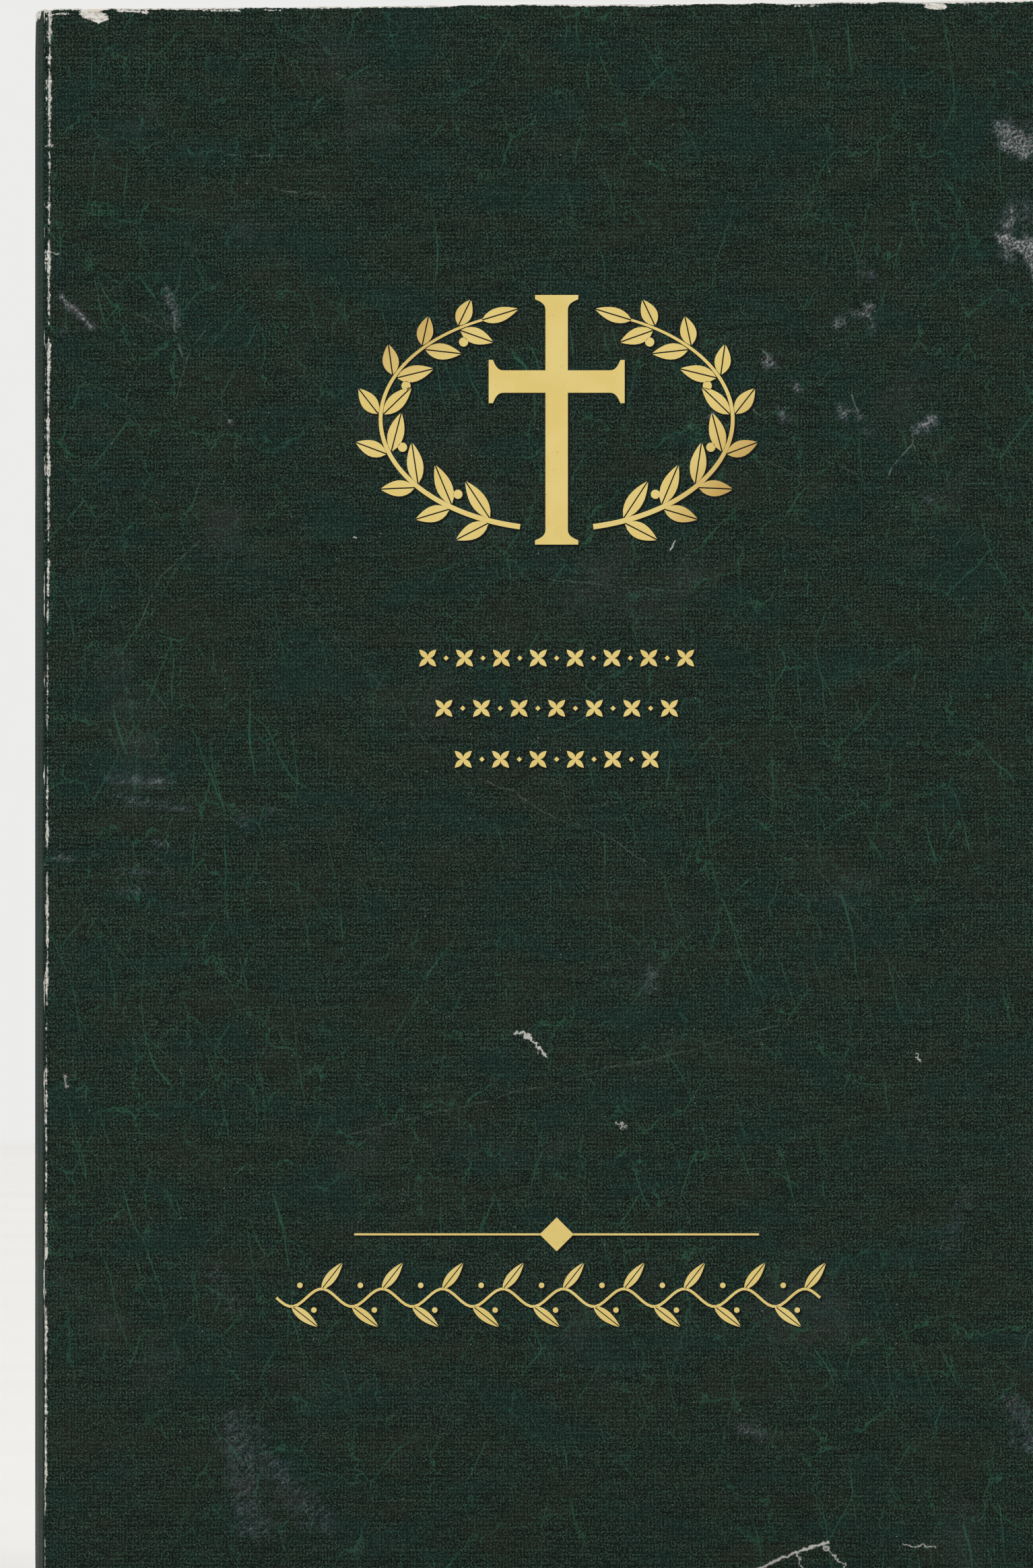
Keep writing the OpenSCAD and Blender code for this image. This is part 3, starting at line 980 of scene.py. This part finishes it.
for name in sections:
    section = leaves_object(name + "_leaves", section_layers(name), paper_printed)
    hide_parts(name)
    body = name + "_body"
    if body in joints:
        bends(section)
    else:
        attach(section, "bound_spine")
print(len(sections), "sections of", LEAVES_PER_SECTION, "leaves")

# %% [markdown]
# ## The single leaves
# A blank flyleaf lies under each cover, and behind the front one the title leaf. They are
# single sheets, so they get the full thickness that the frame keeps for them, less the air.

# %% Flyleaves and title leaf
SINGLE_T, SINGLE_INSET = 0.07, [0.20, 0.14, 0.05]
single_leaves = {"front_flyleaf": "first_leaf", "title_leaf": "second_leaf", "back_flyleaf": "last_leaf"}
for name, body in single_leaves.items():
    low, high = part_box(name)
    layer = [((low.y + high.y) / 2, SINGLE_T, SINGLE_INSET)]
    leaf = leaves_object(name + "_sheet", layer, paper_blank)
    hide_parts(name)
    bends(leaf)
print(len(single_leaves), "single leaves")

# %% [markdown]
# ## The glue
# The glue shows only at the head and the tail, as a thin curved line between the card and the
# leaves. It is a second sheet inside the spine card, with the same cut at its head. Its finish
# is yellowed and slightly waxy, with a few bubbles.

# %% Glue finish
def glue_finish():
    f = Finish("hot_melt_glue", gloss=0.4, index=1.5)
    u, v, face = f.place()
    haze = f.noise(f.vector(u, v), (1.1, 0.7), 88, 4, 0.6)
    pit = Wire(f, f.net(f.vector(u, v), 1.7).outputs["Distance"]).rise(0.22, 0.10)
    base = f.mix(colour(214, 200, 158), colour(172, 146, 98), haze.rise(0.35, 0.75, 0.8))
    f.set(Base_Color=f.mix(base, colour(120, 98, 62), pit * 0.5), Roughness=0.38 + haze * 0.25)
    f.relief(haze * 0.6 - pit, 0.05)
    return f.material


glue = glue_finish()
print("glue finish has", len(glue.node_tree.nodes), "nodes")


# %% Glue strip
def glue_strip():
    outer_r, inner_r = arc_r - card_t - 0.02, arc_r - card_t - GLUE_T
    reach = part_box("spine_glue")[1].y / MM
    turn, v = np.meshgrid(np.linspace(-1, 1, 41), np.linspace(HEAD_SLOPE + 0.25, book_h - 0.15, 30))
    outer, inner = [on_arc(r, turn * math.asin((reach - 0.05) / r), v) for r in (outer_r, inner_r)]
    strip_piece = sheet_object("glue_strip", outer, inner, (turn + 1) * reach, v, glue)
    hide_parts("spine_glue")
    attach(strip_piece, "bound_spine")
    return strip_piece


print("glue strip has", len(glue_strip().data.polygons), "faces")

# %% [markdown]
# ## The gold print
# Gold-coloured ink makes the ornaments. Lettering is left out: a plain cross between two olive
# branches fills the place of the large title, three rows of small florets stand for the small
# lines, a rule with a diamond is kept, and a running vine fills the last line. Each ornament is
# cut as a very thin solid lying in the laminate, so that its outline stays sharp at any size.

# %% Outlines
def placed(points, at, turn):
    """Points turned by an angle in degrees, measured clockwise, then moved to a place."""
    c, s = math.cos(math.radians(turn)), math.sin(math.radians(turn))
    return [(at[0] + x * c - y * s, at[1] + x * s + y * c) for x, y in points]


def leaf_side(length, width, least=0.0):
    """One side of a pointed leaf, from its stalk end: distance along and half width."""
    shares = np.linspace(0, 1, 9)
    return [(t * length, least + (width / 2 - least) * math.sin(math.pi * t ** 0.85) ** 0.9) for t in shares]


def oval_leaf(at, length, width, turn):
    half = leaf_side(length, width)
    return placed(half + [(x, -y) for x, y in half[-2:0:-1]], at, turn)


def veined_leaf(at, length, width, turn, vein=0.17):
    """The two halves of a leaf, with its middle vein left open between them."""
    made = []
    for side in (-1, 1):
        ring = leaf_side(length, width, vein / 2) + [(0.93 * length, vein / 2), (0.07 * length, vein / 2)]
        made.append(placed([(x, side * y) for x, y in ring], at, turn))
    return made


def dot(at, radius, count=14):
    turns = [2 * math.pi * k / count for k in range(count)]
    return [(at[0] + radius * math.cos(t), at[1] + radius * math.sin(t)) for t in turns]


def diamond(at, half):
    return [(at[0] - half, at[1]), (at[0], at[1] - half), (at[0] + half, at[1]), (at[0], at[1] + half)]


def strip(line, widths):
    """A strip along a line of points, with a width at each."""
    left, right = [], []
    for k, (x, y) in enumerate(line):
        before, after = line[max(0, k - 1)], line[min(len(line) - 1, k + 1)]
        run, fall = after[0] - before[0], after[1] - before[1]
        size = math.hypot(run, fall)
        off = (-fall / size * widths[k] / 2, run / size * widths[k] / 2)
        left.append((x + off[0], y + off[1]))
        right.append((x - off[0], y - off[1]))
    return left + right[::-1]


print("a leaf outline has", len(oval_leaf((0, 0), 1.0, 0.5, 0)), "points")


# %% Ink solids
INK_RISE, INK_DEPTH = 0.012, 0.04


def ink_object(name, outlines, material, body="front_board", rise=INK_RISE, shift=(0, 0), grow=0.0):
    """Thin closed prisms from outlines in ruler distances, laid on the lifted front cover."""
    mesh = bpy.data.meshes.new(name)
    points, faces = [], []
    for outline in outlines:
        n, base = len(outline), len(points)
        middle = (sum(p[0] for p in outline) / n, sum(p[1] for p in outline) / n)
        for depth in (-rise, INK_DEPTH):
            for x, y in outline:
                size = math.hypot(x - middle[0], y - middle[1]) or 1
                u = x + (x - middle[0]) / size * grow + shift[0]
                v = y + (y - middle[1]) / size * grow + shift[1]
                off = depth - float(lift(u, v + DROP, -1))
                points.append((fold_x + u * MM, front_y + off * MM, head_z - (v + DROP) * MM))
        faces += [tuple(range(base, base + n)), tuple(range(base + 2 * n - 1, base + n - 1, -1))]
        faces += [(base + (k + 1) % n, base + k, base + n + k, base + n + (k + 1) % n) for k in range(n)]
    mesh.from_pydata(points, [], faces)
    spots = np.array(points)
    ruled = (head_z - spots[:, 2]) / MM - DROP
    at = np.column_stack([(spots[:, 0] - fold_x) / MM, ruled, np.ones(len(points))])
    made = finish_mesh(mesh, at, material, crease=20)
    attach(made, body)
    return made


print("ink stands", INK_RISE, "mm above the laminate")

# %% [markdown]
# ### Gold ink
# The ink is a flat printed gold, not foil: pale yellow in the middle of the title's place and
# shaded to brown at its upper left and lower right, where the printed picture of metal turns
# away from the light. A soft dark shadow is printed below and to the right of each shape.

# %% Gold and shadow finishes
GOLD, GOLD_PALE, GOLD_BROWN = colour(223, 198, 119), colour(229, 209, 138), colour(166, 114, 48)


def gold_finish():
    f = Finish("gold_ink", gloss=0.15)
    u, v, face = f.place()
    spot = f.vector(u, v)
    screen = f.noise(spot, (5.0, 5.0), 91, 1)
    cloud = f.noise(spot, (0.16, 0.16), 92)
    gold = f.mix(GOLD, GOLD_PALE, cloud.rise(0.35, 0.7, 0.5) + screen * 0.6 - 0.3)
    turned = [
        line_mask(f, spot, (38.0, 34.0), (44.0, 38.0), 14.0, 0.5),
        line_mask(f, spot, (93.0, 72.0), (100.0, 62.0), 17.0, 0.95),
    ]
    gold = f.mix(gold, GOLD_BROWN, together(turned))
    rubbed = f.noise(spot, (0.9, 0.9), 93, 5, 0.7).rise(0.62, 0.78, 0.2)
    f.set(Base_Color=f.mix(gold, GOLD_BROWN, rubbed), Roughness=0.40 + screen * 0.15)
    f.relief(screen * 0.3, 0.01)
    return f.material


def shadow_finish():
    f = Finish("printed_shadow", gloss=0.14)
    u, v, face = f.place()
    screen = f.noise(f.vector(u, v), (5.0, 5.0), 94, 1)
    dark = f.mix(colour(2, 6, 5), colour(18, 28, 23), screen.rise(0.3, 0.75))
    f.set(Base_Color=dark, Roughness=0.42 + screen * 0.1)
    return f.material


gold_ink, shadow_ink = gold_finish(), shadow_finish()
print("gold finish has", len(gold_ink.node_tree.nodes), "nodes")

# %% [markdown]
# ### The cross
# The cross follows the weights of engraved capitals: strong stems, thin flat serifs at their
# ends, and a small curve where a stem runs out into its serif.

# %% Cross
CENTRE_U = 66.3
TITLE_TOP, TITLE_END = 37.6, 69.9
STEM = 2.9
SERIF_T, SERIF_OUT, BRACKET = 0.55, 1.35, 1.5


def arm(length):
    """One side of an arm from the stem's corner to its end: distance out and half width."""
    line = [(STEM / 2, STEM / 2)]
    for t in np.linspace(0, 1, 7):
        out_at = length - SERIF_T - BRACKET * (1 - t)
        line.append((out_at, STEM / 2 + SERIF_OUT * t ** 3))
    return line + [(length, STEM / 2 + SERIF_OUT)]


def cross_outline(at, lengths):
    """The outline of a cross whose four arms have their own lengths: right, down, left, up."""
    outline = []
    for quarter, length in enumerate(lengths):
        side = arm(length)
        whole = [(a, -b) for a, b in side[1:]] + side[:0:-1] + [side[0]]
        outline += placed(whole, at, 90 * quarter)
    return outline


CROSS_V = TITLE_TOP + 11.2
CROSS_REACH = 8.8
cross_arms = (CROSS_REACH, TITLE_END - CROSS_V, CROSS_REACH, CROSS_V - TITLE_TOP)
cross = [cross_outline((CENTRE_U, CROSS_V), cross_arms)]
print("cross is", round(TITLE_END - TITLE_TOP, 1), "mm tall")

# %% [markdown]
# ### The olive branches
# Both branches grow from below the cross and bend up around it. Leaves leave the stem in pairs,
# and a small fruit sits beside every second pair.

# %% Olive branches
BRANCH_R = (22.8, 14.2)
BRANCH_V = TITLE_END - 16.2
LEAF_GAP, LEAF_L, LEAF_W = 5.3, 5.6, 2.1


def branch(side):
    """Outlines of one branch. side is -1 for the left one and 1 for the right one."""
    turns = np.radians(np.linspace(12, 155, 120))
    wide, tall = BRANCH_R
    line = [(CENTRE_U + side * wide * math.sin(a), BRANCH_V + tall * math.cos(a)) for a in turns]
    steps = [math.dist(a, b) for a, b in zip(line, line[1:])]
    made = [strip(line, [0.70 * (1 - 0.55 * k / 119) for k in range(120)])]
    walked, due, pair = 0.0, 4.0, 0
    for k, step in enumerate(steps[:-3]):
        walked += step
        if walked < due:
            continue
        here, ahead = line[k], line[k + 2]
        heading = math.degrees(math.atan2(ahead[1] - here[1], ahead[0] - here[0]))
        for lean in (-42, 42):
            way = math.radians(heading + lean)
            stalk = (here[0] + 0.55 * math.cos(way), here[1] + 0.55 * math.sin(way))
            shorter = 0.82 if lean * side > 0 else 1.0
            made += veined_leaf(stalk, LEAF_L * shorter * (1 - 0.03 * pair), LEAF_W, heading + lean)
        if pair % 2:
            way = math.radians(heading - 84 * side)
            made.append(dot((here[0] + 1.9 * math.cos(way), here[1] + 1.9 * math.sin(way)), 0.60))
        due, pair = due + LEAF_GAP, pair + 1
    tip, last = line[-1], line[-3]
    made += veined_leaf(tip, 4.8, 1.9, math.degrees(math.atan2(tip[1] - last[1], tip[0] - last[0])))
    return made


print("each branch has", len(branch(1)), "shapes")


# %% [markdown]
# ### The small rows, the rule and the vine
# The florets get smaller in number from row to row and stay centred. The vine is a wave with a
# slanted leaf at every turn, which gives the line the lean of a written one.

# %% Small ornaments
ROWS = [(84.6, 36.4, 8), (91.1, 32.2, 7), (97.7, 27.2, 6)]
RULE_V, RULE_HALF, RULE_T = 159.2, 26.2, 0.26
VINE_U, VINE_V, VINE_WAVES = (30.0, 100.4), 167.4, 9


def floret_rows():
    made = []
    for v, width, count in ROWS:
        step = (width - 3.0) / (count - 1)
        for k in range(count):
            at = (CENTRE_U - (width - 3.0) / 2 + k * step, v)
            made += [oval_leaf(at, 1.55, 0.70, 45 + 90 * petal) for petal in range(4)]
            if k < count - 1:
                made.append(diamond((at[0] + step / 2, v), 0.34))
    return made


def rule_with_diamond():
    gap = 2.1
    steps = np.linspace(gap, RULE_HALF, 24)
    right = [(CENTRE_U + step, RULE_V) for step in steps]
    left = [(CENTRE_U - step, RULE_V) for step in steps]
    thin = [RULE_T] * len(steps)
    return [strip(left, thin), strip(right, thin), diamond((CENTRE_U, RULE_V), gap + 0.1)]


def vine():
    start, end = VINE_U
    wave = (end - start) / VINE_WAVES
    xs = np.linspace(start, end, VINE_WAVES * 14 + 1)
    line = [(x, VINE_V + 1.15 * math.sin(2 * math.pi * (x - start) / wave)) for x in xs]
    made = [strip(line, [0.34] * len(line))]
    for k in range(2 * VINE_WAVES):
        x = start + (k + 0.5) * wave / 2
        up = k % 2
        y = VINE_V + (1.1 if not up else -1.1)
        made += veined_leaf((x, y), 4.3, 1.35, -52 if up else 38, 0.13)
        made.append(dot((x + (-1.0 if up else 1.1), VINE_V + (1.6 if up else -1.6)), 0.36))
    return made


print("the vine has", len(vine()), "shapes")


# %% Laying the ink
gold_parts = {
    "cross_print": cross,
    "left_olive_branch_print": branch(-1),
    "right_olive_branch_print": branch(1),
    "floret_rows_print": floret_rows(),
    "diamond_rule_print": rule_with_diamond(),
    "vine_row_print": vine(),
}
SHADOW = {"rise": INK_RISE / 3, "shift": (0.22, 0.24), "grow": 0.08}
for name, outlines in gold_parts.items():
    ink_object(name, outlines, gold_ink)
    ink_object(name + "_shadow", outlines, shadow_ink, **SHADOW)
print(sum(len(part) for part in gold_parts.values()), "gold shapes")

# %% [markdown]
# ## The floor
# A wide pale floor with a faint mottle, so that it isn't one flat colour. It is part of the
# studio and not of the book.

# %% Floor
def floor_finish():
    f = Finish("pale_floor", gloss=0.2, index=1.5)
    spot = f.wire("ShaderNodeTexCoord", output="Object")
    mottle = f.wire("ShaderNodeTexNoise", {}, {"Vector": spot, "Scale": 14.0, "Detail": 5.0})
    shade = f.mix(colour(235, 234, 231), colour(226, 225, 222), mottle)
    f.set(Base_Color=shade, Roughness=0.85)
    return f.material


FLOOR_HALF, FLOOR_GAP = 3.0, 0.0002
corners = [(x * FLOOR_HALF, y * FLOOR_HALF, 0) for x, y in ((-1, -1), (1, -1), (1, 1), (-1, 1))]
floor_mesh = bpy.data.meshes.new("floor")
floor_mesh.from_pydata(corners, [], [(0, 1, 2, 3)])
floor_mesh.materials.append(floor_finish())
floor = bpy.data.objects.new("floor", floor_mesh)
floor.location.z = -FLOOR_GAP
bpy.context.scene.collection.objects.link(floor)
print("floor is", 2 * FLOOR_HALF, "m wide")

# %% [markdown]
